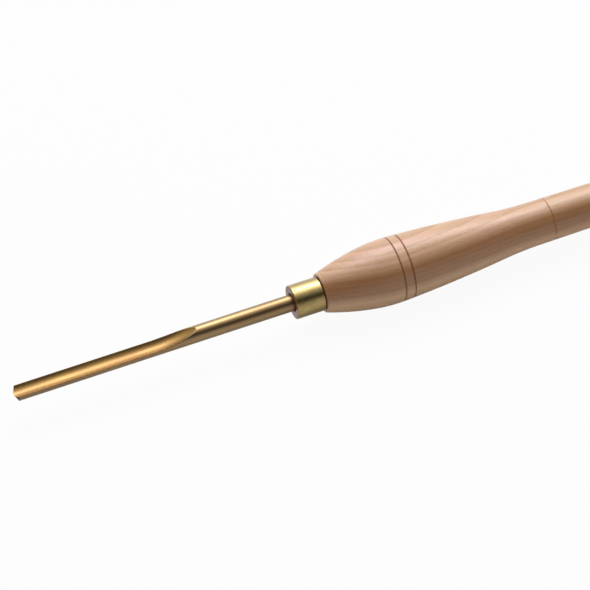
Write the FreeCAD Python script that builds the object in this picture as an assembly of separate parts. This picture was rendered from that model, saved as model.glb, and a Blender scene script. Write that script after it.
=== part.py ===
import FreeCAD, Part
import math
import os

from FreeCAD import Vector

# A spindle gouge for woodturning, lying on a bench with its flute upward.
# Four pieces: a round steel blade milled with a flute, a brass ferrule,
# a turned ash handle, and the adhesive that holds the tang in the handle.
# Sizes are in millimetres. The origin is on the bar's axis at the handle's
# mouth, +X runs along the handle to the butt, and +Z points out of the flute.

# Blade: a round bar with a milled flute and a bevel ground all round its nose
BAR_DIAMETER = 9.5
BLADE_REACH = 162.5        # from the handle's mouth to the nose
SHANK_LENGTH = 56.5        # plain round bar in front of the mouth
FLUTE_RADIUS = 5.4         # round bottom of the flute, seen along the bar
WEB_THICKNESS = 3.2        # steel left under the flute
CUTTER_RADIUS = 65.0       # wheel that milled the flute and left its run-out
BEVEL_ANGLE = 63.0         # degrees between the bevel and the bar's axis

# Tang: the end of the bar that is glued into the handle
TANG_LENGTH = 60.0
TANG_RELIEF = 0.25         # ground off the radius, so that the adhesive keys
TANG_CHAMFER = 1.0

# Hole in the handle
GLUE_FILM = 0.25           # between the tang and the wall of the hole
HOLE_SPARE = 2.0           # depth left behind the tang
DRILL_POINT_ANGLE = 118.0  # degrees, all round
MOUTH_GAP = 0.9            # countersink's width round the bar
MOUTH_DEPTH = 1.6

# Ferrule: a ring cut from brass tube, pressed over the handle's tenon
FERRULE_DIAMETER = 19.2
FERRULE_WALL = 1.1
FERRULE_LENGTH = 16.5
FERRULE_CHAMFER = 0.3
SHOULDER_GAP = 0.4         # the ferrule stops this far from the shoulder

# Handle: turned from one blank, with a bulb, a waist and a second swell
HANDLE_LENGTH = 300.0
SHOULDER_DIAMETER = 22.5
SHOULDER_CHAMFER = 0.6
SWELL_DIAMETER = 37.1
FRONT_SWELL_PLACE = 57.8
WAIST_DIAMETER = 23.9
WAIST_PLACE = 187.0
BUTT_LENGTH = 30.0          # from the rear swell to the flat on the butt
BUTT_FLAT_DIAMETER = 9.0

# Where one arc of the handle's outline runs into the next: each pair is the
# share of the way along, and of the way up from the smaller end to the larger
BULB_RISE_SHARES = ((0.671, 0.870),)
BULB_FALL_SHARES = ((0.048, 0.977), (0.511, 0.251), (0.679, 0.054))
REAR_RISE_SHARES = ((0.542, 0.529),)
BUTT_SHARES = ((0.500, 0.893),)

# Grooves cut round the handle with the point of a chisel
PAIR_GROOVE_PLACE = 60.4
PAIR_GROOVE_PITCH = 5.8
PAIR_GROOVE_WIDTH = 0.9
PAIR_GROOVE_DEPTH = 0.45
WAIST_GROOVE_PLACE = 153.7
WAIST_GROOVE_WIDTH = 0.7
WAIST_GROOVE_DEPTH = 0.35

# The bar is drawn in lengths along the run-out, each with its own wall
RUNOUT_SHARES = (0.0, 0.50, 0.86, 1.0)

# Cutting shapes pass the faces that they cut by this much
OVERRUN = 2.0

BAR_RADIUS = BAR_DIAMETER / 2
TANG_RADIUS = BAR_RADIUS - TANG_RELIEF
HOLE_RADIUS = TANG_RADIUS + GLUE_FILM
HOLE_DEPTH = TANG_LENGTH + HOLE_SPARE
FERRULE_RADIUS = FERRULE_DIAMETER / 2
TENON_RADIUS = FERRULE_RADIUS - FERRULE_WALL
SHOULDER_PLACE = FERRULE_LENGTH + SHOULDER_GAP
SHOULDER_RADIUS = SHOULDER_DIAMETER / 2
SWELL_RADIUS = SWELL_DIAMETER / 2
WAIST_RADIUS = WAIST_DIAMETER / 2
BUTT_FLAT_RADIUS = BUTT_FLAT_DIAMETER / 2
REAR_SWELL_PLACE = HANDLE_LENGTH - BUTT_LENGTH

ORIGIN = Vector(0, 0, 0)
AXIS_X = Vector(1, 0, 0)
AXIS_Y = Vector(0, 1, 0)
AXIS_Z = Vector(0, 0, 1)


def point(x, radius):
    """A point of an outline that is turned about the bar's axis."""
    return Vector(x, 0, radius)


def outline(points):
    """Straight edges through the points, in order."""
    return [Part.LineSegment(a, b).toShape() for a, b in zip(points, points[1:])]


def turned(edges):
    """The solid that a closed outline sweeps about the bar's axis."""
    face = Part.Face(Part.Wire(Part.__sortEdges__(edges)))
    return face.revolve(ORIGIN, AXIS_X, 360)


def turned_points(points):
    """The solid turned from a closed outline of straight edges."""
    return turned(outline(list(points) + [points[0]]))


def bar_length(start, end, radius):
    """A length of round bar along the axis."""
    return Part.makeCylinder(radius, end - start, point(start, 0), AXIS_X)


# Flute: the wheel's rim is as round as the flute, so its path leaves a
# straight trough, and its own roundness leaves the run-out
def flute_floor():
    """Height of the flute's lowest line."""
    return WEB_THICKNESS - BAR_RADIUS


def runout_length():
    """How far the wheel reaches past its last straight cut before it leaves the bar."""
    depth = BAR_RADIUS - flute_floor()
    return math.sqrt(2 * CUTTER_RADIUS * depth - depth ** 2)


def runout_start():
    """Where the straight trough ends."""
    return -SHANK_LENGTH - runout_length()


def flute_cutter():
    """The space that the wheel passes through: a straight trough and a curved run-out."""
    start = -BLADE_REACH - OVERRUN
    end = runout_start()
    centre_height = flute_floor() + FLUTE_RADIUS
    trough = Part.makeCylinder(
        FLUTE_RADIUS, end - start, point(start, centre_height), AXIS_X)
    rim = Part.makeCircle(FLUTE_RADIUS, point(end, centre_height), AXIS_X)
    wheel_centre = point(end, flute_floor() + CUTTER_RADIUS)
    swing = math.degrees(math.asin((runout_length() + OVERRUN) / CUTTER_RADIUS))
    runout = Part.Face(Part.Wire(rim)).revolve(wheel_centre, AXIS_Y, -swing)
    return trough.fuse(runout)


def nose_bevel():
    """The steel left by grinding: a cone about the bar's axis, blunt end in the bar."""
    slope = math.tan(math.radians(BEVEL_ANGLE))
    apex = -BLADE_REACH + flute_floor() / slope
    wide = BAR_RADIUS + OVERRUN
    bevel_end = apex + wide / slope
    cone = Part.makeCone(0, wide, bevel_end - apex, point(apex, 0), AXIS_X)
    return cone.fuse(bar_length(bevel_end, TANG_LENGTH + OVERRUN, wide))


def make_blade():
    """The fluted and bevelled bar, with the tang behind the handle's mouth."""
    runout = [runout_start() + share * runout_length() for share in RUNOUT_SHARES]
    stops = [-BLADE_REACH - OVERRUN] + runout + [0]
    lengths = [bar_length(a, b, BAR_RADIUS) for a, b in zip(stops, stops[1:])]
    tang = turned_points([
        point(0, 0),
        point(0, TANG_RADIUS),
        point(TANG_LENGTH - TANG_CHAMFER, TANG_RADIUS),
        point(TANG_LENGTH, TANG_RADIUS - TANG_CHAMFER),
        point(TANG_LENGTH, 0),
    ])
    bar = lengths[0].fuse(lengths[1:] + [tang])
    return bar.common(nose_bevel()).cut(flute_cutter())


def hole_outline(start, start_radius):
    """Half section of the hole from start to the drill's point."""
    drill_point = HOLE_RADIUS / math.tan(math.radians(DRILL_POINT_ANGLE / 2))
    return [
        point(start, 0),
        point(start, start_radius),
        point(MOUTH_DEPTH, HOLE_RADIUS),
        point(HOLE_DEPTH, HOLE_RADIUS),
        point(HOLE_DEPTH + drill_point, 0),
    ]


def make_adhesive(blade):
    """Cured adhesive: it fills the hole round and behind the tang, up to the countersink."""
    points = hole_outline(MOUTH_DEPTH, HOLE_RADIUS)
    filled = turned_points([points[0]] + points[2:])
    return filled.cut(blade)


def make_ferrule():
    """A ring of brass tube, its outer edges broken by a small chamfer."""
    return turned_points([
        point(0, TENON_RADIUS),
        point(0, FERRULE_RADIUS - FERRULE_CHAMFER),
        point(FERRULE_CHAMFER, FERRULE_RADIUS),
        point(FERRULE_LENGTH - FERRULE_CHAMFER, FERRULE_RADIUS),
        point(FERRULE_LENGTH, FERRULE_RADIUS - FERRULE_CHAMFER),
        point(FERRULE_LENGTH, TENON_RADIUS),
    ])


def between(high_end, low_end, shares):
    """The two ends, high end first, with the points that the shares place between them."""
    first = min(high_end.x, low_end.x)
    span = abs(high_end.x - low_end.x)
    height = high_end.z - low_end.z
    points = [point(first + along * span, low_end.z + rise * height) for along, rise in shares]
    if high_end.x > low_end.x:
        points.reverse()
    return [high_end] + points + [low_end]


def arcs_through(points, angle):
    """Arcs through the points in order, each running smoothly into the next.

    The angle is the first arc's direction where it starts, in radians from +X.
    """
    edges = []
    for start, end in zip(points, points[1:]):
        chord = end - start
        turn = math.atan2(chord.z, chord.x) - angle
        aside = Vector(chord.z, 0, -chord.x) * (math.tan(turn / 2) / 2)
        middle = (start + end) / 2 + aside
        edges.append(Part.Arc(start, middle, end).toShape())
        angle += 2 * turn
    return edges


def handle_outline():
    """The smooth outline from the shoulder's flat face to the flat on the butt."""
    shoulder = point(SHOULDER_PLACE + SHOULDER_CHAMFER, SHOULDER_RADIUS)
    front_swell = point(FRONT_SWELL_PLACE, SWELL_RADIUS)
    waist = point(WAIST_PLACE, WAIST_RADIUS)
    rear_swell = point(REAR_SWELL_PLACE, SWELL_RADIUS)
    butt = point(HANDLE_LENGTH, BUTT_FLAT_RADIUS)
    face_edge = point(SHOULDER_PLACE, SHOULDER_RADIUS - SHOULDER_CHAMFER)
    edges = outline([face_edge, shoulder])
    edges += arcs_through(between(front_swell, shoulder, BULB_RISE_SHARES), math.pi)
    edges += arcs_through(between(front_swell, waist, BULB_FALL_SHARES), 0)
    edges += arcs_through(between(rear_swell, waist, REAR_RISE_SHARES), math.pi)
    edges += arcs_through(between(rear_swell, butt, BUTT_SHARES), 0)
    return edges


def groove(edges, place, width, depth):
    """A ring with a pointed foot, sunk into the outline at the given place."""
    upright = Part.makeLine(point(place, 0), point(place, SWELL_DIAMETER))
    surface = upright.distToShape(Part.Compound(edges))[1][0][0].z
    slope = width / 2 / depth
    top = surface + OVERRUN
    return turned_points([
        point(place, surface - depth),
        point(place - slope * (OVERRUN + depth), top),
        point(place + slope * (OVERRUN + depth), top),
    ])


def make_handle():
    """The turned handle: tenon, shoulder, bulb, waist, rear swell, grooves and hole."""
    smooth = handle_outline()
    straight = outline([
        point(HANDLE_LENGTH, BUTT_FLAT_RADIUS),
        point(HANDLE_LENGTH, 0),
        point(0, 0),
        point(0, TENON_RADIUS),
        point(SHOULDER_PLACE, TENON_RADIUS),
        point(SHOULDER_PLACE, SHOULDER_RADIUS - SHOULDER_CHAMFER),
    ])
    handle = turned(smooth + straight)
    for step in range(2):
        place = PAIR_GROOVE_PLACE + step * PAIR_GROOVE_PITCH
        handle = handle.cut(groove(smooth, place, PAIR_GROOVE_WIDTH, PAIR_GROOVE_DEPTH))
    handle = handle.cut(
        groove(smooth, WAIST_GROOVE_PLACE, WAIST_GROOVE_WIDTH, WAIST_GROOVE_DEPTH))
    hole = hole_outline(0, BAR_RADIUS + MOUTH_GAP)
    return handle.cut(turned_points(hole))


def main():
    """Makes the four pieces and writes each to its own file."""
    os.makedirs("parts", exist_ok=True)
    blade = make_blade()
    pieces = {
        "blade": blade,
        "ferrule": make_ferrule(),
        "handle": make_handle(),
        "adhesive": make_adhesive(blade),
    }
    for name, shape in pieces.items():
        solids = shape.Solids
        print(name, shape.isValid(), "solids", len(solids), "volume", round(shape.Volume, 1))
        solids[0].exportStep("parts/" + name + ".step")


main()
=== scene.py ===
import logging
import math
from dataclasses import dataclass
from enum import Enum, IntEnum

import bpy
import numpy as np
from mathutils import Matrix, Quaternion, Vector

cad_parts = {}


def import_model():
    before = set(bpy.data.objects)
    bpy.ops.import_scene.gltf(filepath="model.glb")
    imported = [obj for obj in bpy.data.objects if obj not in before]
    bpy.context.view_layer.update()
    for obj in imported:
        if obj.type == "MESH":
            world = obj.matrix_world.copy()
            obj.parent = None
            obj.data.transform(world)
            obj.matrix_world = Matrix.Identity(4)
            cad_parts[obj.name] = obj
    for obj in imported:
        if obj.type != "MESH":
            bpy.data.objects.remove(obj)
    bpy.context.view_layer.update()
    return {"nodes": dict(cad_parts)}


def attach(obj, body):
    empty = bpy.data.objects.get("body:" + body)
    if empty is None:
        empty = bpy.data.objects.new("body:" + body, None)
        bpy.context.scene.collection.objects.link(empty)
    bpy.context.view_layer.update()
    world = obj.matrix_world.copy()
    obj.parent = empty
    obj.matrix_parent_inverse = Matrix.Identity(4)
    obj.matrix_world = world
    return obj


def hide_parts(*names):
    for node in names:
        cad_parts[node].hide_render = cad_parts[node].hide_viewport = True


# The looks of a spindle gouge: a round steel blade with a milled flute, a
# brass ferrule and a turned ash handle. Sizes are in millimetres and become
# metres when a mesh is made. X runs from the nose to the butt, on the bar's
# axis, with the handle's mouth at zero, and Z points out of the flute.

MM = 0.001
TINY = 1e-6                       # in millimetres or radians, less than this counts as zero
EDGE_STEP = 0.25                  # space between points on a rounded edge, over its radius
NOISE_SPREAD = {"From Min": 0.3, "From Max": 0.7}   # where most of a noise's values lie
LOG = logging.getLogger("spindle_gouge")
ROOT_BODY = "root"
SMOOTH_LIMIT = math.radians(32)   # edges that turn by more than this stay sharp

Pair = tuple[float, float]
Outline = list[Pair]


class Slot(Enum):
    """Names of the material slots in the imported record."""

    STEEL = "coated_steel"
    BRASS = "brass"
    ASH = "ash"


class BladeFinish(IntEnum):
    """Places of the blade's finishes in its list of materials."""

    COATED = 0
    GROUND = 1
    MILLED = 2


class FerruleFinish(IntEnum):
    """Places of the ferrule's finishes in its list of materials."""

    TURNED = 0
    FILED = 1


# Node and colour helpers

def linear(hex_colour: str) -> tuple[float, float, float, float]:
    """Turns an sRGB colour into the linear values that shaders take.

    Args:
        hex_colour: six hexadecimal digits, with or without a leading #.

    Returns:
        Red, green, blue and an alpha of one.
    """
    digits = hex_colour.lstrip("#")
    values = [int(digits[i:i + 2], 16) / 255 for i in (0, 2, 4)]
    flat = [v / 12.92 if v <= 0.04045 else ((v + 0.055) / 1.055) ** 2.4 for v in values]
    return flat[0], flat[1], flat[2], 1.0


def add_node(
    tree: bpy.types.NodeTree,
    kind: str,
    sockets: dict[str | int, object] | None = None,
    **settings: object,
) -> bpy.types.Node:
    """Adds a node, sets its options, and fills or links its inputs.

    Args:
        tree: the tree that the node goes into.
        kind: the node's type.
        sockets: value, or output socket to link, for each input by name or index.
        settings: the node's own options.

    Returns:
        The new node.
    """
    node = tree.nodes.new(kind)
    for name, value in settings.items():
        setattr(node, name, value)
    for key, value in (sockets or {}).items():
        if isinstance(value, bpy.types.NodeSocket):
            tree.links.new(value, node.inputs[key])
        else:
            node.inputs[key].default_value = value
    return node


def set_ramp(ramp: bpy.types.Node, stops: list[tuple[float, tuple[float, ...]]]) -> None:
    """Gives a colour ramp its stops.

    Args:
        ramp: the colour ramp node.
        stops: position and linear colour of each stop, in order.
    """
    elements = ramp.color_ramp.elements
    while len(elements) < len(stops):
        elements.new(1.0)
    for element, (place, colour) in zip(elements, stops):
        element.position = place
        element.color = colour


def grey(value: float) -> tuple[float, float, float, float]:
    """A neutral ramp colour of the given value."""
    return value, value, value, 1.0


def new_material(name: str) -> tuple[bpy.types.Material, bpy.types.NodeTree]:
    """Makes an empty node material.

    Args:
        name: what the material is.

    Returns:
        The material and its node tree, with no nodes in it.
    """
    material = bpy.data.materials.new(name)
    material.use_nodes = True
    material.node_tree.nodes.clear()
    return material, material.node_tree


def object_millimetres(
    tree: bpy.types.NodeTree, along: float, around: float
) -> bpy.types.NodeSocket:
    """Object coordinates counted in pattern cells instead of metres.

    Args:
        tree: the material's tree.
        along: length of one cell along X, in millimetres.
        around: length of one cell along Y and Z, in millimetres.

    Returns:
        The scaled vector.
    """
    place = add_node(tree, "ShaderNodeTexCoord")
    scale = (1 / (along * MM), 1 / (around * MM), 1 / (around * MM))
    mapped = add_node(
        tree, "ShaderNodeMapping", {"Vector": place.outputs["Object"], "Scale": scale})
    return mapped.outputs["Vector"]


# Mesh helpers

def mesh_object(
    name: str, vertices: np.ndarray, faces: list[tuple[int, ...]]
) -> bpy.types.Object:
    """Makes an object from millimetre vertices, smooth but for its hard edges.

    Args:
        name: the piece's name.
        vertices: one row of X, Y and Z per vertex, in millimetres.
        faces: vertex numbers of each face.

    Returns:
        The object, linked to the scene.
    """
    mesh = bpy.data.meshes.new(name)
    mesh.from_pydata((vertices * MM).tolist(), [], faces)
    mesh.validate()
    mesh.shade_smooth()
    mesh.set_sharp_from_angle(angle=SMOOTH_LIMIT)
    piece = bpy.data.objects.new(name, mesh)
    bpy.context.scene.collection.objects.link(piece)
    return piece


def turned_mesh(
    name: str, outline: Outline, segments: int, closed: bool = False
) -> bpy.types.Object:
    """Turns an outline about the X axis.

    Args:
        name: the piece's name.
        outline: X and radius of each point; a radius of zero is on the axis.
        segments: faces round the axis.
        closed: whether the last point joins the first, as on a ring.

    Returns:
        The turned object.
    """
    angles = np.arange(segments) * 2 * math.pi / segments
    rows, vertices = [], []
    for x, radius in outline:
        first = len(vertices)
        if radius < TINY:
            vertices.append((x, 0.0, 0.0))
            rows.append([first] * segments)
        else:
            vertices += [(x, radius * math.sin(a), radius * math.cos(a)) for a in angles]
            rows.append(list(range(first, first + segments)))
    pairs = list(zip(rows, rows[1:]))
    if closed:
        pairs.append((rows[-1], rows[0]))
    faces = []
    for low, high in pairs:
        for i in range(segments):
            j = (i + 1) % segments
            corners = (low[i], high[i], high[j], low[j])
            faces.append(tuple(dict.fromkeys(corners)))
    return mesh_object(name, np.array(vertices), faces)


def arc_points(
    start: Pair, end: Pair, angle: float, step: float
) -> tuple[Outline, float]:
    """Points on the arc that leaves start in a given direction and reaches end.

    Args:
        start: X and radius where the arc begins.
        end: X and radius where it ends.
        angle: direction at the start, in radians from +X.
        step: greatest distance between points.

    Returns:
        The points after start, and the direction at the end.
    """
    chord = (end[0] - start[0], end[1] - start[1])
    turn = math.remainder(math.atan2(chord[1], chord[0]) - angle, 2 * math.pi)
    length = math.hypot(*chord)
    count = max(2, math.ceil(length / step))
    points = []
    for i in range(1, count + 1):
        if abs(turn) < TINY:
            reach, aim = length * i / count, angle
        else:
            sweep = turn * i / count
            reach, aim = length * math.sin(sweep) / math.sin(turn), angle + sweep
        points.append((start[0] + reach * math.cos(aim), start[1] + reach * math.sin(aim)))
    return points, angle + 2 * turn


def arcs_through(points: Outline, angle: float, step: float) -> Outline:
    """Points along arcs that each run smoothly into the next.

    Args:
        points: where each arc ends and the next begins.
        angle: direction at the first point, in radians from +X.
        step: greatest distance between points.

    Returns:
        The points, the first one included.
    """
    line = [points[0]]
    for start, end in zip(points, points[1:]):
        arc, angle = arc_points(start, end, angle, step)
        line += arc
    return line


def between(high: Pair, low: Pair, shares: tuple[Pair, ...]) -> Outline:
    """The two ends, high end first, with the points that the shares place between them.

    Args:
        high: X and radius of the larger end.
        low: X and radius of the smaller end.
        shares: share of the way along from the lower X, and of the way up from low to high.

    Returns:
        The points in order from high to low.
    """
    first, span, rise = min(high[0], low[0]), abs(high[0] - low[0]), high[1] - low[1]
    inner = [(first + along * span, low[1] + up * rise) for along, up in shares]
    if high[0] > low[0]:
        inner.reverse()
    return [high, *inner, low]


# Finishes

@dataclass(frozen=True)
class NitrideCoatedSteel:
    """High-speed steel, ground along its length and given a gold nitride coating.

    The coating is a few thousandths thick, so the grinding lines show through
    as fine streaks along the bar and spread the light round it. The colour
    drifts a little from gold to a warmer brown, and the outside has painted
    shade towards the nose, for the shadowed floor it mirrors. A film of oil keeps rust off.
    """

    name: str = "nitride_coated_steel"
    gold: str = "A4865A"
    brown: str = "947450"
    roughness: float = 0.32
    oil_weight: float = 0.6
    oil_roughness: float = 0.2
    line_length: float = 45.0     # mm, a grinding line before it fades
    line_width: float = 0.4       # mm, coarser than the real grit so that it shows
    line_depth: float = 0.010     # mm
    line_shades: Pair = (0.92, 1.05)   # factors on the colour, darkest and brightest line
    line_roughness: Pair = (1.1, 0.9)  # factors on the roughness of the same lines
    drift_length: float = 40.0    # mm, patches of colour
    drift_slimness: float = 6.0   # their length over their width
    drift_span: Pair = (0.35, 0.75)    # values of the noise that are plain gold and brown
    # painted shade: the outside is darkened towards the nose, for the contact shadow it mirrors
    # there
    nose_painted_shade: float = 0.84      # factor on the colour of the outside at the nose
    nose_from: float = -95.0      # mm along the bar, where it starts to darken
    nose_to: float = -140.0       # mm, where it is fully dark

    def build(self) -> bpy.types.Material:
        """Makes the material.

        Returns:
            The finished material.
        """
        material, tree = new_material(self.name)
        lines = add_node(tree, "ShaderNodeTexNoise", {
            "Vector": object_millimetres(tree, self.line_length, self.line_width),
            "Scale": 1.0, "Detail": 4.0, "Roughness": 0.6})
        drift = add_node(tree, "ShaderNodeTexNoise", {
            "Vector": object_millimetres(
                tree, self.drift_length, self.drift_length / self.drift_slimness),
            "Scale": 1.0, "Detail": 2.0})
        tint = add_node(tree, "ShaderNodeValToRGB", {"Fac": drift.outputs["Fac"]})
        set_ramp(tint, [
            (self.drift_span[0], linear(self.gold)), (self.drift_span[1], linear(self.brown))])
        streak = add_node(tree, "ShaderNodeMapRange", {
            "Value": lines.outputs["Fac"], **NOISE_SPREAD,
            "To Min": self.line_shades[0], "To Max": self.line_shades[1]})
        place = add_node(tree, "ShaderNodeTexCoord")
        along = add_node(tree, "ShaderNodeSeparateXYZ", {"Vector": place.outputs["Object"]})
        # painted shade, growing towards the nose
        nose = add_node(tree, "ShaderNodeMapRange", {
            "Value": along.outputs["X"], "From Min": self.nose_to * MM,
            "From Max": self.nose_from * MM, "To Min": self.nose_painted_shade, "To Max": 1.0})
        level = add_node(tree, "ShaderNodeMath", {
            0: streak.outputs["Result"], 1: nose.outputs["Result"]}, operation="MULTIPLY")
        colour = add_node(tree, "ShaderNodeVectorMath", {
            0: tint.outputs["Color"], "Scale": level.outputs["Value"]}, operation="SCALE")
        rough = add_node(tree, "ShaderNodeMapRange", {
            "Value": lines.outputs["Fac"], **NOISE_SPREAD,
            "To Min": self.roughness * self.line_roughness[0],
            "To Max": self.roughness * self.line_roughness[1]})
        bump = add_node(tree, "ShaderNodeBump", {
            "Height": lines.outputs["Fac"], "Strength": 0.3,
            "Distance": self.line_depth * MM})
        shader = add_node(tree, "ShaderNodeBsdfPrincipled", {
            "Base Color": colour.outputs["Vector"], "Metallic": 1.0,
            "Roughness": rough.outputs["Result"], "Coat Weight": self.oil_weight,
            "Coat Roughness": self.oil_roughness, "Normal": bump.outputs["Normal"]})
        add_node(tree, "ShaderNodeOutputMaterial", {"Surface": shader.outputs["BSDF"]})
        return material


@dataclass(frozen=True)
class GroundSteel:
    """Bare steel of the bevel, sharpened on a wheel after the bar was coated.

    The wheel leaves short scratches across the bevel, which make it duller than
    the coated bar. Its colour is darkened to a deep brown as painted shade, for
    the dark surroundings that the bevel mirrors.
    """

    # painted shade: bare steel darkened to a deep brown
    steel: str = "4A3626"
    scratch_length: float = 3.0   # mm
    scratch_width: float = 0.12   # mm
    scratch_depth: float = 0.008  # mm
    scratch_shades: Pair = (0.8, 1.1)  # factors on the colour, darkest and brightest
    roughness: float = 0.34

    def build(self) -> bpy.types.Material:
        """Makes the material.

        Returns:
            The finished material.
        """
        material, tree = new_material("ground_steel")
        scratches = add_node(tree, "ShaderNodeTexNoise", {
            "Vector": object_millimetres(tree, self.scratch_width, self.scratch_length),
            "Scale": 1.0, "Detail": 3.0})
        shade = add_node(tree, "ShaderNodeMapRange", {
            "Value": scratches.outputs["Fac"], **NOISE_SPREAD,
            "To Min": self.scratch_shades[0], "To Max": self.scratch_shades[1]})
        colour = add_node(tree, "ShaderNodeVectorMath", {
            0: linear(self.steel)[:3], "Scale": shade.outputs["Result"]}, operation="SCALE")
        bump = add_node(tree, "ShaderNodeBump", {
            "Height": scratches.outputs["Fac"], "Strength": 0.5,
            "Distance": self.scratch_depth * MM})
        shader = add_node(tree, "ShaderNodeBsdfPrincipled", {
            "Base Color": colour.outputs["Vector"], "Metallic": 1.0,
            "Roughness": self.roughness, "Normal": bump.outputs["Normal"]})
        add_node(tree, "ShaderNodeOutputMaterial", {"Surface": shader.outputs["BSDF"]})
        return material


@dataclass(frozen=True)
class TurnedBrass:
    """Brass tube, turned and polished on the lathe.

    Polishing leaves fine rings round the tube, which widen the highlight along
    the axis, and handling dulls it in soft patches. A thin lacquer keeps it bright.
    """

    name: str = "turned_brass"
    brass: str = "BCA468"
    tarnish: str = "AA9058"
    roughness: float = 0.24
    lacquer_weight: float = 0.7
    lacquer_roughness: float = 0.15
    ring_width: float = 0.18      # mm, between turning lines
    ring_length: float = 80.0     # mm, of a turning line before it fades
    ring_depth: float = 0.004     # mm
    patch_size: float = 6.0       # mm
    patch_span: Pair = (0.38, 0.72)    # values of the noise that are bright and tarnished
    dull_span: Pair = (0.35, 0.7)      # values where the dulling starts and ends
    dull_roughness: Pair = (0.9, 1.25)  # factors on the roughness at those two

    def build(self) -> bpy.types.Material:
        """Makes the material.

        Returns:
            The finished material.
        """
        material, tree = new_material(self.name)
        rings = add_node(tree, "ShaderNodeTexNoise", {
            "Vector": object_millimetres(tree, self.ring_width, self.ring_length),
            "Scale": 1.0, "Detail": 3.0, "Roughness": 0.65})
        patches = add_node(tree, "ShaderNodeTexNoise", {
            "Vector": object_millimetres(tree, self.patch_size, self.patch_size),
            "Scale": 1.0, "Detail": 3.0})
        colour = add_node(tree, "ShaderNodeValToRGB", {"Fac": patches.outputs["Fac"]})
        set_ramp(colour, [
            (self.patch_span[0], linear(self.brass)),
            (self.patch_span[1], linear(self.tarnish))])
        rough = add_node(tree, "ShaderNodeMapRange", {
            "Value": patches.outputs["Fac"],
            "From Min": self.dull_span[0], "From Max": self.dull_span[1],
            "To Min": self.roughness * self.dull_roughness[0],
            "To Max": self.roughness * self.dull_roughness[1]})
        bump = add_node(tree, "ShaderNodeBump", {
            "Height": rings.outputs["Fac"], "Strength": 0.3,
            "Distance": self.ring_depth * MM})
        shader = add_node(tree, "ShaderNodeBsdfPrincipled", {
            "Base Color": colour.outputs["Color"], "Metallic": 1.0,
            "Roughness": rough.outputs["Result"], "Coat Weight": self.lacquer_weight,
            "Coat Roughness": self.lacquer_roughness, "Normal": bump.outputs["Normal"]})
        add_node(tree, "ShaderNodeOutputMaterial", {"Surface": shader.outputs["BSDF"]})
        return material


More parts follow.
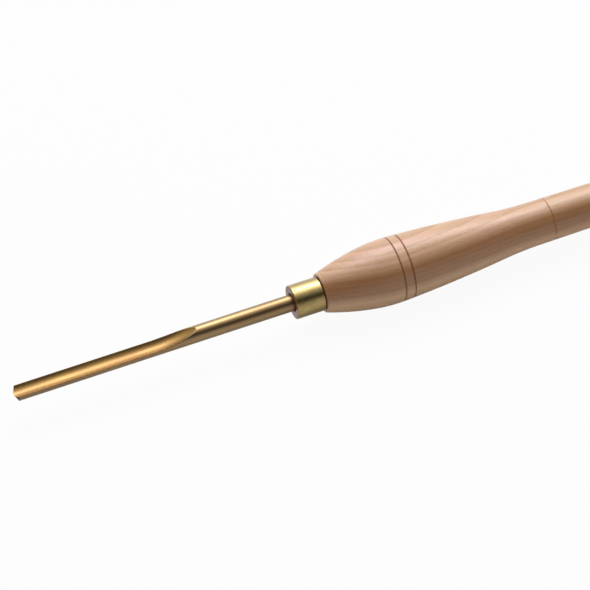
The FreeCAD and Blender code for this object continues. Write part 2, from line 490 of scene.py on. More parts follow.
@dataclass(frozen=True)
class LacqueredAsh:
    """Ash, turned, sanded along the grain and given a satin clear lacquer.

    Ash is ring-porous: each year's growth starts abruptly with a brown band of
    open pores and fades to dense pale wood. The years are sheets round the
    tree's heart, so the turned surface cuts them into long streaks, and into
    nested arches on the side that faces away from the heart. A broader brown
    band at set distances from the heart is painted shade, on the side of the
    handle that faces the camera and away from the lamps.
    """

    late_wood: str = "E4B48A"
    early_wood: str = "CC9A6C"
    pink_tone: str = "E8B094"
    heart_wood: str = "E0B58A"
    # colour of the painted shade band
    painted_shade_brown: str = "A46A36"
    pore: str = "966440"
    scorch: str = "86401C"
    year_width: float = 2.4       # mm, one year's growth
    first_year: float = 0.42      # share of a year that is cut off at the heart
    year_profile: tuple[Pair, ...] = (  # part of the year gone by, and share of early wood
        (0.0, 0.0), (0.12, 1.0), (0.35, 0.7), (0.7, 0.2), (1.0, 0.0))
    heart: Pair = (-15.28, -14.72)      # mm, Y and Z beside the mouth
    heart_slope: Pair = (0.0232, -0.0175)  # its Y and Z per X, as the grain runs out of line
    wander: float = 0.35          # years
    wander_length: float = 120.0  # mm
    wander_width: float = 16.0    # mm
    faint_radius: float = 26.0    # mm from the heart, where the years look even
    clear_radius: float = 32.0    # mm from the heart, where they show most
    year_strength: Pair = (0.25, 0.75)  # how much they show at those two distances
    # painted shade: a brown band round the heart, placed where the handle's side facing the camera
    # falls into shade
    painted_shade_band: tuple[float, float, float, float] = (15.0, 20.0, 28.0, 31.5)  # mm from the heart
    painted_shade_share: float = 0.85
    heart_band: Pair = (16.0, 26.0)     # mm, where heartwood turns to sapwood
    tone_length: float = 64.0     # mm, patches of pinker wood
    tone_width: float = 7.0       # mm
    tone_span: Pair = (0.4, 0.65)  # values of the noise that are pale and pink
    fibre_length: float = 40.0    # mm
    fibre_width: float = 0.5      # mm
    fibre_shades: Pair = (0.86, 1.1)     # factors on the colour, darkest and brightest fibre
    fibre_roughness: Pair = (0.92, 1.1)  # factors on the roughness of the same fibres
    pore_width: float = 0.35      # mm, wider than real pores so that they show
    pore_length: float = 5.0      # mm
    pore_depth: float = 0.02      # mm
    pore_span: Pair = (0.6, 0.7)  # values of the noise where a pore starts and is open
    roughness: float = 0.45
    lacquer_weight: float = 0.8
    lacquer_roughness: float = 0.3

    def build(self) -> bpy.types.Material:
        """Makes the material.

        Returns:
            The finished material.
        """
        material, tree = new_material("lacquered_ash")
        years, brown, sapwood = self.growth_rings(tree)
        fibres = add_node(tree, "ShaderNodeTexNoise", {
            "Vector": object_millimetres(tree, self.fibre_length, self.fibre_width),
            "Scale": 1.0, "Detail": 4.0, "Roughness": 0.6})
        pores = add_node(tree, "ShaderNodeTexNoise", {
            "Vector": object_millimetres(tree, self.pore_length, self.pore_width),
            "Scale": 1.0, "Detail": 1.0})
        tone = add_node(tree, "ShaderNodeTexNoise", {
            "Vector": object_millimetres(tree, self.tone_length, self.tone_width),
            "Scale": 1.0, "Detail": 2.0})
        open_pores = add_node(tree, "ShaderNodeMapRange", {
            "Value": pores.outputs["Fac"],
            "From Min": self.pore_span[0], "From Max": self.pore_span[1]})
        in_early = add_node(tree, "ShaderNodeMath", {
            0: open_pores.outputs["Result"], 1: years}, operation="MULTIPLY")
        toned = add_node(tree, "ShaderNodeMapRange", {
            "Value": tone.outputs["Fac"],
            "From Min": self.tone_span[0], "From Max": self.tone_span[1]})
        late = add_node(tree, "ShaderNodeMix", {
            "Factor": toned.outputs["Result"], "A": linear(self.late_wood),
            "B": linear(self.pink_tone)}, data_type="RGBA")
        pale = add_node(tree, "ShaderNodeMix", {
            "Factor": sapwood, "A": linear(self.heart_wood), "B": late.outputs["Result"]},
            data_type="RGBA")
        # the brown mixed in here is painted shade
        with_painted_shade = add_node(tree, "ShaderNodeMix", {
            "Factor": brown, "A": pale.outputs["Result"], "B": linear(self.painted_shade_brown)},
            data_type="RGBA")
        wood = add_node(tree, "ShaderNodeMix", {
            "Factor": years, "A": with_painted_shade.outputs["Result"], "B": linear(self.early_wood)},
            data_type="RGBA")
        pored = add_node(tree, "ShaderNodeMix", {
            "Factor": in_early.outputs["Value"], "A": wood.outputs["Result"],
            "B": linear(self.pore)}, data_type="RGBA")
        shade = add_node(tree, "ShaderNodeMapRange", {
            "Value": fibres.outputs["Fac"], **NOISE_SPREAD,
            "To Min": self.fibre_shades[0], "To Max": self.fibre_shades[1]})
        grained = add_node(tree, "ShaderNodeVectorMath", {
            0: pored.outputs["Result"], "Scale": shade.outputs["Result"]}, operation="SCALE")
        scorched = add_node(tree, "ShaderNodeAttribute", attribute_name="scorch")
        colour = add_node(tree, "ShaderNodeMix", {
            "Factor": scorched.outputs["Fac"], "A": grained.outputs["Vector"],
            "B": linear(self.scorch)}, data_type="RGBA")
        rough = add_node(tree, "ShaderNodeMapRange", {
            "Value": fibres.outputs["Fac"], **NOISE_SPREAD,
            "To Min": self.roughness * self.fibre_roughness[0],
            "To Max": self.roughness * self.fibre_roughness[1]})
        relief = add_node(tree, "ShaderNodeMath", {
            0: fibres.outputs["Fac"], 1: in_early.outputs["Value"]}, operation="SUBTRACT")
        bump = add_node(tree, "ShaderNodeBump", {
            "Height": relief.outputs["Value"], "Strength": 0.25,
            "Distance": self.pore_depth * MM})
        shader = add_node(tree, "ShaderNodeBsdfPrincipled", {
            "Base Color": colour.outputs["Result"], "Metallic": 0.0, "IOR": 1.5,
            "Roughness": rough.outputs["Result"], "Coat Weight": self.lacquer_weight,
            "Coat Roughness": self.lacquer_roughness, "Normal": bump.outputs["Normal"]})
        add_node(tree, "ShaderNodeOutputMaterial", {"Surface": shader.outputs["BSDF"]})
        return material

    def growth_rings(
        self, tree: bpy.types.NodeTree
    ) -> tuple[bpy.types.NodeSocket, bpy.types.NodeSocket, bpy.types.NodeSocket]:
        """How far into the porous early wood each point is, and its place in the tree.

        Args:
            tree: the material's tree.

        Returns:
            One at the start of a year's growth, falling to zero at its end, and
            fainter near the heart; the share of the brown painted shade; and the share of sapwood.
        """
        place = add_node(tree, "ShaderNodeTexCoord").outputs["Object"]
        along = add_node(tree, "ShaderNodeSeparateXYZ", {"Vector": place})
        drawn = add_node(tree, "ShaderNodeVectorMath", {
            0: (1.0, *self.heart_slope), "Scale": along.outputs["X"]}, operation="SCALE")
        heart = add_node(tree, "ShaderNodeVectorMath", {
            0: drawn.outputs["Vector"], 1: (0.0, self.heart[0] * MM, self.heart[1] * MM)},
            operation="ADD")
        distance = add_node(tree, "ShaderNodeVectorMath", {
            0: place, 1: heart.outputs["Vector"]}, operation="DISTANCE")
        wander = add_node(tree, "ShaderNodeTexNoise", {
            "Vector": object_millimetres(tree, self.wander_length, self.wander_width),
            "Scale": 1.0, "Detail": 2.0})
        shift = add_node(tree, "ShaderNodeMath", {
            0: wander.outputs["Fac"], 1: self.wander, 2: self.first_year - self.wander / 2},
            operation="MULTIPLY_ADD")
        years = add_node(tree, "ShaderNodeMath", {
            0: distance.outputs["Value"], 1: 1 / (self.year_width * MM),
            2: shift.outputs["Value"]}, operation="MULTIPLY_ADD")
        part_of_year = add_node(tree, "ShaderNodeMath", {
            0: years.outputs["Value"]}, operation="FRACT")
        ramp = add_node(tree, "ShaderNodeValToRGB", {"Fac": part_of_year.outputs["Value"]})
        set_ramp(ramp, [(part, grey(share)) for part, share in self.year_profile])
        clear = add_node(tree, "ShaderNodeMapRange", {
            "Value": distance.outputs["Value"],
            "From Min": self.faint_radius * MM, "From Max": self.clear_radius * MM,
            "To Min": self.year_strength[0], "To Max": self.year_strength[1]})
        strength = add_node(tree, "ShaderNodeMath", {
            0: ramp.outputs["Color"], 1: clear.outputs["Result"]}, operation="MULTIPLY")
        # painted shade: brown at the distances from the heart that land on the handle's shaded
        # side
        span = self.painted_shade_band[-1]
        reach = add_node(tree, "ShaderNodeMath", {
            0: distance.outputs["Value"], 1: 1 / (span * MM)}, operation="MULTIPLY")
        brown = add_node(tree, "ShaderNodeValToRGB", {"Fac": reach.outputs["Value"]})
        levels = (0.0, self.painted_shade_share, self.painted_shade_share, 0.0)
        set_ramp(brown, [(at / span, grey(v)) for at, v in zip(self.painted_shade_band, levels)])
        sapwood = add_node(tree, "ShaderNodeMapRange", {
            "Value": distance.outputs["Value"], "From Min": self.heart_band[0] * MM,
            "From Max": self.heart_band[1] * MM})
        return strength.outputs["Value"], brown.outputs["Color"], sapwood.outputs["Result"]


@dataclass(frozen=True)
class CuredAdhesive:
    """Two-part adhesive, set in the hole: dull amber, with tiny bubbles."""

    amber: str = "A58A58"
    bubble_size: float = 0.3      # mm
    bubble_depth: float = 0.05    # mm
    bubble_shades: Pair = (0.8, 1.2)   # factors on the colour
    roughness: float = 0.5

    def build(self) -> bpy.types.Material:
        """Makes the material.

        Returns:
            The finished material.
        """
        material, tree = new_material("cured_adhesive")
        bubbles = add_node(tree, "ShaderNodeTexNoise", {
            "Vector": object_millimetres(tree, self.bubble_size, self.bubble_size),
            "Scale": 1.0, "Detail": 2.0})
        shade = add_node(tree, "ShaderNodeMapRange", {
            "Value": bubbles.outputs["Fac"],
            "To Min": self.bubble_shades[0], "To Max": self.bubble_shades[1]})
        colour = add_node(tree, "ShaderNodeVectorMath", {
            0: linear(self.amber)[:3], "Scale": shade.outputs["Result"]}, operation="SCALE")
        bump = add_node(tree, "ShaderNodeBump", {
            "Height": bubbles.outputs["Fac"], "Strength": 0.4,
            "Distance": self.bubble_depth * MM})
        shader = add_node(tree, "ShaderNodeBsdfPrincipled", {
            "Base Color": colour.outputs["Vector"], "Roughness": self.roughness,
            "IOR": 1.5, "Normal": bump.outputs["Normal"]})
        add_node(tree, "ShaderNodeOutputMaterial", {"Surface": shader.outputs["BSDF"]})
        return material


# Pieces

@dataclass
class FlutedBlade:
    """The round bar with its milled flute, ground nose and glued tang.

    Sections hold the side and height of their points. Those along the flute
    come first, then those back round the outside.
    """

    bar_radius: float = 4.75
    reach: float = 162.49         # just inside the solid's nose
    shank_length: float = 56.5
    flute_radius: float = 5.8
    web_thickness: float = 3.75
    cutter_radius: float = 65.0
    bevel_angle: float = 63.0     # degrees from the bar's axis
    tang_length: float = 60.0
    tang_radius: float = 4.5
    tang_chamfer: float = 1.0
    rim_round: float = 0.45       # width taken off the flute's sharp rim by deburring
    rim_share: float = 0.35       # most of the flute's half width that this may take
    rim_count: int = 4            # points on each half of a rounded rim
    half_count: int = 72          # points along the flute, and as many round the outside
    halvings: int = 60            # steps in the search for the flute's rim
    nose_gap: float = 6.0         # from the nose to the next section
    straight_count: int = 30      # sections along the straight cut
    runout_count: int = 60        # sections along the run-out, both its ends counted
    runout_crowding: float = 1.6  # above one, they stand closer towards its end
    tip_gap: float = 0.4          # past the run-out's tip, a section that keeps its shading there
    bevel_layers: int = 8         # strips of faces across the bevel

    @property
    def floor(self) -> float:
        """Height of the flute's lowest line."""
        return self.web_thickness - self.bar_radius

    @property
    def runout_length(self) -> float:
        """How far the cutter reaches past its last straight cut."""
        depth = self.bar_radius - self.floor
        return math.sqrt(2 * self.cutter_radius * depth - depth ** 2)

    def flute_height(self, past: float, side: np.ndarray) -> np.ndarray:
        """Height of the flute's surface.

        Args:
            past: distance past the end of the straight cut, at least zero.
            side: distances to the side of the middle line.

        Returns:
            The heights at those places.
        """
        rim = np.sqrt(np.maximum(self.flute_radius ** 2 - side ** 2, 0))
        reach = self.cutter_radius - self.flute_radius + rim
        centre = self.floor + self.cutter_radius
        return centre - np.sqrt(np.maximum(reach ** 2 - past ** 2, 0))

    def rim_side(self, past: float) -> float:
        """Half the flute's width where it meets the bar's outside.

        Args:
            past: distance past the end of the straight cut.

        Returns:
            The half width, found by halving the range.
        """
        low, high = 0.0, self.bar_radius
        for _ in range(self.halvings):
            side = (low + high) / 2
            height = float(self.flute_height(past, np.array([side]))[0])
            if side ** 2 + height ** 2 < self.bar_radius ** 2:
                low = side
            else:
                high = side
        return low

    def ring(self, x: float) -> tuple[np.ndarray, np.ndarray]:
        """Cross-section at a place along the bar, with the flute's two rims rounded.

        Args:
            x: the place.

        Returns:
            Side and height of the points along the flute from one rim to the
            other, and of as many points round the outside. Both begin and end
            with the middle of a rim.
        """
        past = max(0.0, x + self.shank_length + self.runout_length)
        side = self.rim_side(past)
        width = min(self.rim_round, self.rim_share * side)
        heights = self.flute_height(past, np.array([side, side - width / 2]))
        corner = np.array([side, heights[0]])
        steepness = math.atan2(heights[0] - heights[1], width / 2)
        flute_side = side - width * math.cos(steepness)
        outside_angle = math.atan2(*corner) + width / self.bar_radius
        count = self.half_count - 2 * self.rim_count
        sides = np.linspace(-flute_side, flute_side, count)
        inner = np.stack([sides, self.flute_height(past, sides)], axis=1)
        angles = np.linspace(-outside_angle, outside_angle - 2 * math.pi, count)
        outer = self.bar_radius * np.stack([np.sin(angles), np.cos(angles)], axis=1)
        middle = (inner[-1] + 2 * corner + outer[-1]) / 4
        return self.with_rims(inner, corner, middle), self.with_rims(outer, corner, middle)

    def with_rims(
        self, line: np.ndarray, corner: np.ndarray, middle: np.ndarray
    ) -> np.ndarray:
        """Carries a line on at both ends, round the rims as far as their middle.

        Args:
            line: side and height of the line's points.
            corner: the sharp rim at the line's end.
            middle: the middle of the rounded rim there.

        Returns:
            The longer line; its other end is the mirror image.
        """
        end = line[-1]
        # a smooth curve from the rim's middle to the line, pulled towards the sharp corner
        pull = (middle + end) / 2 + (corner - middle) / 4
        shares = np.arange(self.rim_count)[:, None] / self.rim_count
        rim = middle * (1 - shares) ** 2 + pull * 2 * shares * (1 - shares) + end * shares ** 2
        return np.vstack([rim * (-1, 1), line, rim[::-1]])

    @staticmethod
    def loop(inner: np.ndarray, outer: np.ndarray) -> np.ndarray:
        """The points along the flute and back round the outside, each rim once."""
        return np.vstack([inner, outer[-2:0:-1]])

    def nose_place(self, section: np.ndarray) -> np.ndarray:
        """Where each point of a section meets the ground bevel, along X."""
        slope = math.tan(math.radians(self.bevel_angle))
        distance = np.hypot(section[:, 0], section[:, 1])
        return -self.reach + (distance - abs(self.floor)) / slope

    def fluted_places(self) -> np.ndarray:
        """Where the fluted sections behind the nose stand.

        Returns:
            Their places along X, as far as the last one before the run-out's tip.
        """
        runout_start = -self.shank_length - self.runout_length
        straight = np.linspace(-self.reach + self.nose_gap, runout_start, self.straight_count)
        shares = np.linspace(0, 1, self.runout_count)[1:-1]
        crowded = 1 - (1 - shares) ** self.runout_crowding
        return np.concatenate([straight, runout_start + crowded * self.runout_length])

    def plain_profile(self) -> Outline:
        """The turned outline of the plain shank and the tang.

        Returns:
            Place and radius of each section.
        """
        return [
            (-self.shank_length, self.bar_radius),
            (-self.shank_length + self.tip_gap, self.bar_radius),
            (-self.shank_length / 2, self.bar_radius),
            (0.0, self.bar_radius),
            (0.0, self.tang_radius),
            (self.tang_length - self.tang_chamfer, self.tang_radius),
            (self.tang_length, self.tang_radius - self.tang_chamfer)]

    def build(self) -> bpy.types.Object:
        """Makes the blade as one closed mesh, its faces sorted by finish.

        Returns:
            The blade, not yet dressed.
        """
        inner, outer = self.ring(-self.reach)
        rings = [self.loop(*[
            np.column_stack([self.nose_place(line), line]) for line in (inner, outer)])]
        for x in self.fluted_places():
            rings.append(self.loop(*[
                np.column_stack([np.full(self.half_count, x), line])
                for line in self.ring(float(x))]))
        vertices = [vertex for ring in rings for vertex in ring]
        size = len(rings[0])
        faces, milled = [], set()
        for low in range(0, (len(rings) - 1) * size, size):
            for i in range(size):
                j = (i + 1) % size
                if i < self.half_count - 1:
                    milled.add(len(faces))
                faces.append((low + i, low + size + i, low + size + j, low + j))
        faces += self.plain_faces(vertices, rings[-1])
        ground_from = len(faces)
        faces += self.bevel_faces(vertices, inner, outer)
        piece = mesh_object("blade_bar", np.array(vertices), faces)
        for polygon in piece.data.polygons:
            if polygon.index >= ground_from:
                polygon.material_index = BladeFinish.GROUND
            elif polygon.index in milled:
                polygon.material_index = BladeFinish.MILLED
        return piece

    def plain_faces(
        self, vertices: list[np.ndarray], ring: np.ndarray
    ) -> list[tuple[int, ...]]:
        """Adds the plain shank and the tang, as far as the tang's flat end.

        The flute and its rims draw together in one point on top of the shank.

        Args:
            vertices: the blade's vertices, which end with the last fluted section's;
                more are added.
            ring: that section's vertices.

        Returns:
            The faces of the shank and the tang.
        """
        count, size = self.half_count, len(ring)
        first_plain, last_plain = count + self.rim_count - 1, size - self.rim_count
        shape = ring[first_plain:last_plain + 1, 1:] / self.bar_radius
        before = list(range(len(vertices) - size, len(vertices)))
        faces = []
        for x, radius in self.plain_profile():
            top = len(vertices)
            vertices.append(np.array([x, 0.0, radius]))
            vertices += [np.array([x, radius * side, radius * up]) for side, up in shape]
            row = [top] * count + [
                top + 1 + min(max(i, first_plain), last_plain) - first_plain
                for i in range(count, size)]
            for i in range(size):
                j = (i + 1) % size
                corners = tuple(dict.fromkeys((before[i], row[i], row[j], before[j])))
                if len(corners) > 2:
                    faces.append(corners)
            before = row
        middle = len(vertices)
        vertices.append(np.array([self.tang_length, 0.0, 0.0]))
        for i in range(size):
            corners = (before[i], middle, before[(i + 1) % size])
            if corners[0] != corners[2]:
                faces.append(corners)
        return faces

    def bevel_faces(
        self, vertices: list[np.ndarray], inner: np.ndarray, outer: np.ndarray
    ) -> list[tuple[int, ...]]:
        """Adds the cone-shaped bevel between the flute's end and the outside.

        Args:
            vertices: the blade's vertices, which begin with the nose's; more are added.
            inner: the nose section's points along the flute.
            outer: its points round the outside.

        Returns:
            The bevel's faces.
        """
        last = self.half_count - 1
        rows = [list(range(last + 1))]
        for layer in range(1, self.bevel_layers):
            share = layer / self.bevel_layers
            section = (inner * (1 - share) + outer * share)[1:-1]
            first = len(vertices)
            for x, point in zip(self.nose_place(section), section):
                vertices.append(np.array([x, point[0], point[1]]))
            rows.append([0, *range(first, len(vertices)), last])
        rows.append([(2 * last - i) % (2 * last) for i in range(last + 1)])
        faces = []
        for low, high in zip(rows, rows[1:]):
            for i in range(last):
                corners = (low[i], low[i + 1], high[i + 1], high[i])
                faces.append(tuple(dict.fromkeys(corners)))
        return faces

    def dress(self, piece: bpy.types.Object) -> None:
        """Gives the bar its coating, the bevel its bare steel and the flute its duller gold.

        Args:
            piece: the blade.
        """
        finishes = {
            BladeFinish.COATED: NitrideCoatedSteel(),
            BladeFinish.GROUND: GroundSteel(),
            BladeFinish.MILLED: NitrideCoatedSteel(
                name="nitride_coated_milled_steel", gold="B08A4C", brown="9C7440",
                roughness=0.42, nose_painted_shade=1.0)}
        for place in BladeFinish:
            piece.data.materials.append(finishes[place].build())


@dataclass
class BrassFerrule:
    """The ring of brass tube pressed over the handle's tenon."""

    outer_radius: float = 9.6
    inner_radius: float = 8.5
    length: float = 16.5
    edge_round: float = 0.35
    bore_round: float = 0.12
    segments: int = 160
    end_facing: float = 0.9       # a face that points this much along the axis is an end's

    def outline(self) -> Outline:
        """The ring's section, its edges rounded by polishing.

        Returns:
            X and radius of its points, in order round the section.
        """
        corners = [
            ((0.0, self.inner_radius), self.bore_round, math.pi),
            ((0.0, self.outer_radius), self.edge_round, math.pi / 2),
            ((self.length, self.outer_radius), self.edge_round, 0.0),
            ((self.length, self.inner_radius), self.bore_round, -math.pi / 2)]
        points = []
        for (x, radius), size, heading in corners:
            ahead = (math.cos(heading), math.sin(heading))
            turned = (math.cos(heading - math.pi / 2), math.sin(heading - math.pi / 2))
            start = (x - ahead[0] * size, radius - ahead[1] * size)
            end = (x + turned[0] * size, radius + turned[1] * size)
            points += arcs_through([start, end], heading, size * EDGE_STEP)
        return points

    def build(self) -> bpy.types.Object:
        """Makes the ring."""
        return turned_mesh("ferrule_ring", self.outline(), self.segments, closed=True)

    def dress(self, piece: bpy.types.Object) -> None:
        """Polishes the ring's outside and leaves its filed ends dull and darker; the darker brass
        of the ends is painted shade.

        Args:
            piece: the ring.
        """
        finishes = {
            FerruleFinish.TURNED: TurnedBrass(),
            # the ends' darker brass is painted shade, for the shadowed floor they mirror; their
            # higher roughness is the real filed finish
            FerruleFinish.FILED: TurnedBrass(
                name="filed_shaded_brass", brass="96784A", tarnish="745A34", roughness=0.4,
                lacquer_weight=0.1, lacquer_roughness=0.3)}
        for place in FerruleFinish:
            piece.data.materials.append(finishes[place].build())
        for polygon in piece.data.polygons:
            if abs(polygon.normal.x) > self.end_facing:
                polygon.material_index = FerruleFinish.FILED


@dataclass(frozen=True)
class Groove:
    """A line cut round the handle and darkened by friction.

    The scorch fades out beside the cut, half a width from its edge.
    """

    place: float
    width: float
    depth: float
    scorch: float                 # how dark the cut is, from zero to one
    bulge: float = 0.8            # one is a plain V, and less makes its bottom blunter
    burn_slope: float = 1.6       # how soon the scorch is as dark as in the cut
    count: int = 33               # points across the cut and the scorch beside it

    def points(self, xs: np.ndarray, radii: np.ndarray) -> list[tuple[float, float, float]]:
        """The outline across the cut and the scorched wood beside it.

        Args:
            xs: places along the outline before the cut, in order.
            radii: its radius at each of them.

        Returns:
            X, radius and scorch of each point.
        """
        points = []
        for share in np.linspace(-1, 1, self.count):   # the cut is the middle half of it
            x = self.place + share * self.width
            inside = max(0.0, 1 - abs(share) * 2)
            burn = self.scorch * min(1.0, (1 - abs(share)) * self.burn_slope) ** 2
            radius = float(np.interp(x, xs, radii)) - self.depth * inside ** self.bulge
            points.append((x, radius, burn))
        return points


@dataclass
class TurnedHandle:
    """The ash handle: tenon, shoulder, bulb, waist, rear swell, butt and hole."""

    length: float = 300.0
    tenon_radius: float = 8.5
    shoulder_place: float = 16.9
    shoulder_radius: float = 11.25
    shoulder_round: float = 0.6
    swell_radius: float = 18.51   # just inside the facets of the solid's swell
    front_swell: float = 57.8
    waist_radius: float = 11.95
    waist: float = 187.0
    butt_length: float = 30.0
    butt_flat_radius: float = 4.5
    hole_radius: float = 4.75
    mouth_radius: float = 5.65
    mouth_depth: float = 1.6
    hole_depth: float = 62.0
    drill_point: float = 2.854
    segments: int = 160
    step: float = 0.9             # greatest distance between points along the outline
    grooves: tuple[Groove, ...] = (
        Groove(60.4, 0.9, 0.45, 0.6),
        Groove(66.2, 0.9, 0.45, 0.6),
        Groove(153.7, 0.7, 0.35, 0.1))
    # points where one arc meets the next, as the shares that between() takes
    rise_shares: tuple[Pair, ...] = ((0.671, 0.870),)
    fall_shares: tuple[Pair, ...] = ((0.048, 0.977), (0.511, 0.251), (0.679, 0.054))
    rear_shares: tuple[Pair, ...] = ((0.542, 0.529),)
    butt_shares: tuple[Pair, ...] = ((0.500, 0.893),)

    def smooth_outline(self) -> Outline:
        """The turned outline with no grooves.

        Returns:
            X and radius of its points, from the shoulder's face to the butt's flat.
        """
        shoulder = (self.shoulder_place + self.shoulder_round, self.shoulder_radius)
        face_edge = (self.shoulder_place, self.shoulder_radius - self.shoulder_round)
        swell = (self.front_swell, self.swell_radius)
        waist = (self.waist, self.waist_radius)
        rear = (self.length - self.butt_length, self.swell_radius)
        butt = (self.length, self.butt_flat_radius)
        edge = arcs_through(
            [face_edge, shoulder], math.pi / 2, self.shoulder_round * EDGE_STEP)
        rise = arcs_through(between(swell, shoulder, self.rise_shares), math.pi, self.step)
        fall = arcs_through(between(swell, waist, self.fall_shares), 0.0, self.step)
        back = arcs_through(between(rear, waist, self.rear_shares), math.pi, self.step)
        end = arcs_through(between(rear, butt, self.butt_shares), 0.0, self.step)
        return edge + rise[::-1][1:] + fall[1:] + back[::-1][1:] + end[1:]

    def outline(self) -> tuple[Outline, list[float]]:
        """The whole section, and how scorched each of its points is.

        Returns:
            The outline from the hole's end round to the butt's middle, and one
            scorch value per point.
        """
        smooth = self.smooth_outline()
        xs = np.array([p[0] for p in smooth])
        radii = np.array([p[1] for p in smooth])
        shape = [(p[0], p[1], 0.0) for p in smooth]
        for groove in self.grooves:
            shape = [p for p in shape if abs(p[0] - groove.place) > groove.width]
            shape += groove.points(xs, radii)
        face = [p for p in shape if p[0] <= self.shoulder_place + TINY]
        body = sorted(p for p in shape if p[0] > self.shoulder_place + TINY)
        hole = [
            (self.hole_depth + self.drill_point, 0.0),
            (self.hole_depth, self.hole_radius),
            (self.mouth_depth, self.hole_radius),
            (0.0, self.mouth_radius),
            (0.0, self.tenon_radius),
            (self.shoulder_place, self.tenon_radius)]
        # the hole and the tenon's end take the full scorch colour, dark brown
        darkened_hole = [(x, radius, 1.0) for x, radius in hole]
        full = darkened_hole + face + body + [(self.length, 0.0, 0.0)]
        return [(p[0], p[1]) for p in full], [p[2] for p in full]

    def build(self) -> bpy.types.Object:
        """Makes the handle and stores the scorch on its vertices.

        Returns:
            The handle, not yet dressed.
        """
        outline, burns = self.outline()
        piece = turned_mesh("handle_turning", outline, self.segments)
        values = []
        for (_, radius), burn in zip(outline, burns):
            values += [burn] * (1 if radius < TINY else self.segments)
        scorch = piece.data.attributes.new("scorch", "FLOAT", "POINT")
        scorch.data.foreach_set("value", values)
        return piece

    def dress(self, piece: bpy.types.Object) -> None:
        """Gives the handle its wood."""
        piece.data.materials.append(LacqueredAsh().build())


# Studio

@dataclass(frozen=True)
class Softbox:
    """A rectangular lamp that faces the tool from above and behind."""

    name: str
    power: float                  # W
    length: float                 # m, along the tool
    width: float                  # m, across it
    elevation: float = 57.0       # degrees above the floor
    distance: float = 2.4         # m
    offset: float = 0.8           # m, towards the handle

    def build(self) -> None:
        """Makes the lamp and aims it at the origin."""
        height = math.radians(self.elevation)
        direction = Vector((0.0, math.cos(height), math.sin(height)))
        light = bpy.data.lights.new(self.name, "AREA")
        light.shape = "RECTANGLE"
        light.size, light.size_y = self.length, self.width
        light.energy = self.power
        lamp = bpy.data.objects.new(self.name, light)
        lamp.location = direction * self.distance + Vector((self.offset, 0.0, 0.0))
        lamp.rotation_mode = "QUATERNION"
        lamp.rotation_quaternion = (-direction).to_track_quat("-Z", "Y")
        bpy.context.scene.collection.objects.link(lamp)


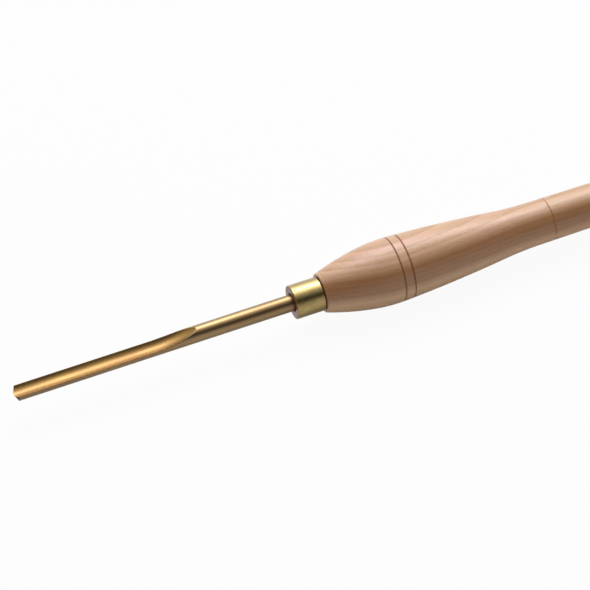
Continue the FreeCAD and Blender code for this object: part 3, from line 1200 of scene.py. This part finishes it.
@dataclass
class Studio:
    """Floor, lamps, world and camera."""

    floor_height: float = -18.6   # mm, under both swells of the handle
    floor_size: float = 12.0      # m
    floor_white: float = 0.87
    floor_glow: float = 0.94      # share of plain white that the camera sees in the floor
    mirrored_glow: float = 0.05   # share that metal and glass see, in the floor and the walls
    wall_level: float = 0.55      # brightness near the horizon
    wall_foot: float = 0.1        # sine of the elevation where the walls start to fade
    wall_height: float = 0.6      # sine of the elevation where they end
    ceiling_level: float = 0.0
    halo_level: float = 0.45      # brightness of the ceiling round the lamps
    halo_aim: tuple[float, float, float] = (0.316, 0.485, 0.816)   # a direction
    halo_inner: float = 40.0      # degrees from its aim where it starts to fade
    halo_outer: float = 68.0      # degrees where it ends
    camera_place: tuple[float, float, float] = (-0.55821, -1.46654, 1.66125)   # m
    camera_azimuth: float = -20.903    # degrees, as are the next two
    camera_elevation: float = 46.530
    camera_roll: float = -2.581
    camera_reach: float = 20.0    # m, past the floor's far edge
    lens: float = 254.92          # mm
    sensor_width: float = 36.0    # mm
    softboxes: tuple[Softbox, ...] = (
        Softbox("softbox_edge", 15.0, 2.2, 3.9),
        Softbox("softbox", 17.0, 2.2, 2.5, distance=2.35),
        Softbox("softbox_core", 20.0, 1.8, 1.0, distance=2.3))

    def background_share(self, tree: bpy.types.NodeTree, seen: float) -> bpy.types.NodeSocket:
        """How much plain white a ray finds in the background.

        Args:
            tree: the tree of the floor or the world.
            seen: the share that the camera sees.

        Returns:
            That share for the camera, a small one for metal and glass, else zero.
        """
        ray = add_node(tree, "ShaderNodeLightPath")
        mirrored = add_node(tree, "ShaderNodeMath", {
            0: ray.outputs["Is Glossy Ray"], 1: ray.outputs["Is Transmission Ray"]},
            operation="MAXIMUM")
        in_metal = add_node(tree, "ShaderNodeMath", {
            0: mirrored.outputs["Value"], 1: self.mirrored_glow}, operation="MULTIPLY")
        share = add_node(tree, "ShaderNodeMath", {
            0: ray.outputs["Is Camera Ray"], 1: seen,
            2: in_metal.outputs["Value"]}, operation="MULTIPLY_ADD")
        return share.outputs["Value"]

    def build_floor(self) -> None:
        """Makes the white floor, which keeps a faint shadow."""
        half = self.floor_size / 2 / MM
        corners = np.array([
            (-half, -half, self.floor_height), (half, -half, self.floor_height),
            (half, half, self.floor_height), (-half, half, self.floor_height)])
        floor = mesh_object("floor", corners, [(0, 1, 2, 3)])
        material, tree = new_material("white_paper")
        paper = add_node(tree, "ShaderNodeBsdfDiffuse", {"Color": grey(self.floor_white)})
        glow = add_node(tree, "ShaderNodeEmission", {"Color": grey(1.0), "Strength": 1.0})
        mixed = add_node(tree, "ShaderNodeMixShader", {
            "Fac": self.background_share(tree, self.floor_glow), 1: paper.outputs["BSDF"],
            2: glow.outputs["Emission"]})
        add_node(tree, "ShaderNodeOutputMaterial", {"Surface": mixed.outputs["Shader"]})
        floor.data.materials.append(material)

    def build_world(self) -> None:
        """Makes a room, pale low down, dark above and lit round the lamps.

        The camera itself sees plain white.
        """
        world = bpy.data.worlds.new("studio")
        world.use_nodes = True
        tree = world.node_tree
        tree.nodes.clear()
        place = add_node(tree, "ShaderNodeTexCoord")
        height = add_node(tree, "ShaderNodeSeparateXYZ", {"Vector": place.outputs["Generated"]})
        level = add_node(tree, "ShaderNodeMapRange", {
            "Value": height.outputs["Z"], "From Min": self.wall_foot, "From Max": self.wall_height,
            "To Min": self.wall_level, "To Max": self.ceiling_level},
            interpolation_type="SMOOTHSTEP")
        nearness = add_node(tree, "ShaderNodeVectorMath", {
            0: place.outputs["Generated"], 1: self.halo_aim}, operation="DOT_PRODUCT")
        halo = add_node(tree, "ShaderNodeMapRange", {
            "Value": nearness.outputs["Value"],
            "From Min": math.cos(math.radians(self.halo_outer)),
            "From Max": math.cos(math.radians(self.halo_inner)),
            "To Min": 0.0, "To Max": self.halo_level}, interpolation_type="SMOOTHSTEP")
        total = add_node(tree, "ShaderNodeMath", {
            0: level.outputs["Result"], 1: halo.outputs["Result"]}, operation="ADD")
        strength = add_node(tree, "ShaderNodeMix", {
            "Factor": self.background_share(tree, 1.0), "A": total.outputs["Value"],
            "B": 1.0}, data_type="FLOAT")
        back = add_node(tree, "ShaderNodeBackground", {
            "Color": grey(1.0), "Strength": strength.outputs["Result"]})
        add_node(tree, "ShaderNodeOutputWorld", {"Surface": back.outputs["Background"]})
        bpy.context.scene.world = world

    def build_camera(self) -> None:
        """Puts the camera at the photograph's viewing angle."""
        azimuth, elevation, roll = map(math.radians, (
            self.camera_azimuth, self.camera_elevation, self.camera_roll))
        back = Vector((
            math.sin(azimuth) * math.cos(elevation),
            -math.cos(azimuth) * math.cos(elevation),
            math.sin(elevation)))
        data = bpy.data.cameras.new("camera")
        data.lens = self.lens
        data.sensor_width = self.sensor_width
        data.clip_end = self.camera_reach
        camera = bpy.data.objects.new("camera", data)
        camera.location = self.camera_place
        camera.rotation_mode = "QUATERNION"
        turn = Quaternion((0.0, 0.0, 1.0), roll)
        camera.rotation_quaternion = (-back).to_track_quat("-Z", "Y") @ turn
        bpy.context.scene.collection.objects.link(camera)
        bpy.context.scene.camera = camera

    def build(self) -> None:
        """Builds the whole studio."""
        bpy.context.scene.view_settings.view_transform = "Standard"
        self.build_floor()
        self.build_world()
        for softbox in self.softboxes:
            softbox.build()
        self.build_camera()


def main() -> None:
    """Builds the studio and the pieces, and logs each piece's face count."""
    logging.basicConfig(level=logging.INFO, format="%(name)s: %(message)s")
    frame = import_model()
    Studio().build()
    assemblies = {"blade": FlutedBlade(), "ferrule": BrassFerrule(), "handle": TurnedHandle()}
    for node, assembly in assemblies.items():
        piece = assembly.build()
        assembly.dress(piece)
        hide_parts(node)
        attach(piece, ROOT_BODY)
        LOG.info("%s stands for %s, %d faces", piece.name, node, len(piece.data.polygons))
    adhesive = frame["nodes"]["adhesive"]
    adhesive.data.materials.clear()
    adhesive.data.materials.append(CuredAdhesive().build())
    LOG.info("adhesive keeps its solid, with its own finish")


if __name__ == "__main__":
    main()
